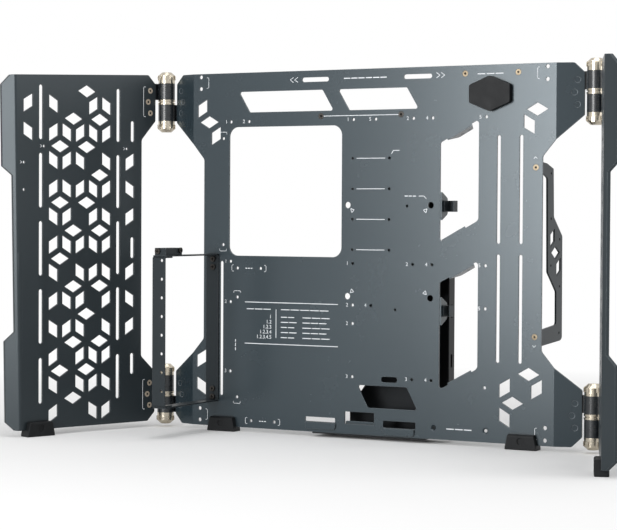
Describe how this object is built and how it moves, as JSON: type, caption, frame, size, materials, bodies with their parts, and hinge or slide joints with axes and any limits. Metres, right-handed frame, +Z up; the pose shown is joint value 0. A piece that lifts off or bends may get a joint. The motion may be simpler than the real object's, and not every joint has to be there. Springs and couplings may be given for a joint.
{
  "type": "open air test bench",
  "caption": "Open computer test bench: flat sheet-metal board panel on feet, with two slotted wings on barrel hinges, a card rail, a rear cable tray and a switch housing.",
  "frame": {"origin": "centre of the 100 mm monitor-mount pattern on the front face of the centre panel", "axes": "+X along the centre panel to the right, -Y out of the front face towards the user, +Z up; the feet stand at Z = -0.20645 m"},
  "size_m": [0.7095, 0.2475, 0.4088],
  "materials": {
    "panel_paint": "satin",
    "wing_paint": "satin",
    "bracket_paint": "satin",
    "black_paint": "satin",
    "black_metal": "satin",
    "gold_metal": "satin",
    "brass_screws": "satin",
    "hinge_screws": "satin",
    "black_screws": "black",
    "steel": "satin",
    "black_plastic": "matte"
  },
  "bodies": {
    "bench": {"card_bracket_base": "bracket_paint", "card_bracket_screws": "black_screws", "card_rail": "bracket_paint", "card_rail_clamp": "bracket_paint", "centre_foot_left": "black_plastic", "centre_foot_right": "black_plastic", "centre_panel": "panel_paint", "hub_cap": "black_plastic", "hub_housing": "black_plastic", "hub_screws": "brass_screws", "left_ear_hinge_screws": "hinge_screws", "left_lower_ear_leaf": "black_metal", "left_lower_end_knob": "gold_metal", "left_lower_hinge_pin": "steel", "left_lower_hinge_rings": "gold_metal", "left_lower_top_knob": "gold_metal", "left_upper_ear_leaf": "black_metal", "left_upper_end_knob": "gold_metal", "left_upper_hinge_pin": "steel", "left_upper_hinge_rings": "gold_metal", "left_upper_top_knob": "gold_metal", "lower_strap_hook": "bracket_paint", "pump_bracket": "bracket_paint", "pump_bracket_screws": "brass_screws", "rear_cable_tray": "black_paint", "right_ear_hinge_screws": "hinge_screws", "right_lower_ear_leaf": "black_metal", "right_lower_end_knob": "gold_metal", "right_lower_hinge_pin": "steel", "right_lower_hinge_rings": "gold_metal", "right_lower_top_knob": "gold_metal", "right_upper_ear_leaf": "black_metal", "right_upper_end_knob": "gold_metal", "right_upper_hinge_pin": "steel", "right_upper_hinge_rings": "gold_metal", "right_upper_top_knob": "gold_metal", "tray_screws": "black_screws", "upper_strap_hook": "bracket_paint"},
    "left_wing": {"left_lower_wing_leaf": "black_metal", "left_upper_wing_leaf": "black_metal", "left_wing_foot": "black_plastic", "left_wing_hinge_screws": "hinge_screws", "left_wing_panel": "wing_paint"},
    "right_wing": {"right_lower_wing_leaf": "black_metal", "right_upper_wing_leaf": "black_metal", "right_wing_foot": "black_plastic", "right_wing_hinge_screws": "hinge_screws", "right_wing_panel": "wing_paint"}
  },
  "joints": [
    {"name": "left_wing_hinge", "type": "hinge", "parent": "bench", "child": "left_wing", "pos_m": [-0.28904, 0.00732, 0], "axis": [0, 0, 1], "range_deg": [-70, 20]},
    {"name": "right_wing_hinge", "type": "hinge", "parent": "bench", "child": "right_wing", "pos_m": [0.23334, 0.00732, 0], "axis": [0, 0, -1], "range_deg": [-69.4, 20.6]}
  ]
}
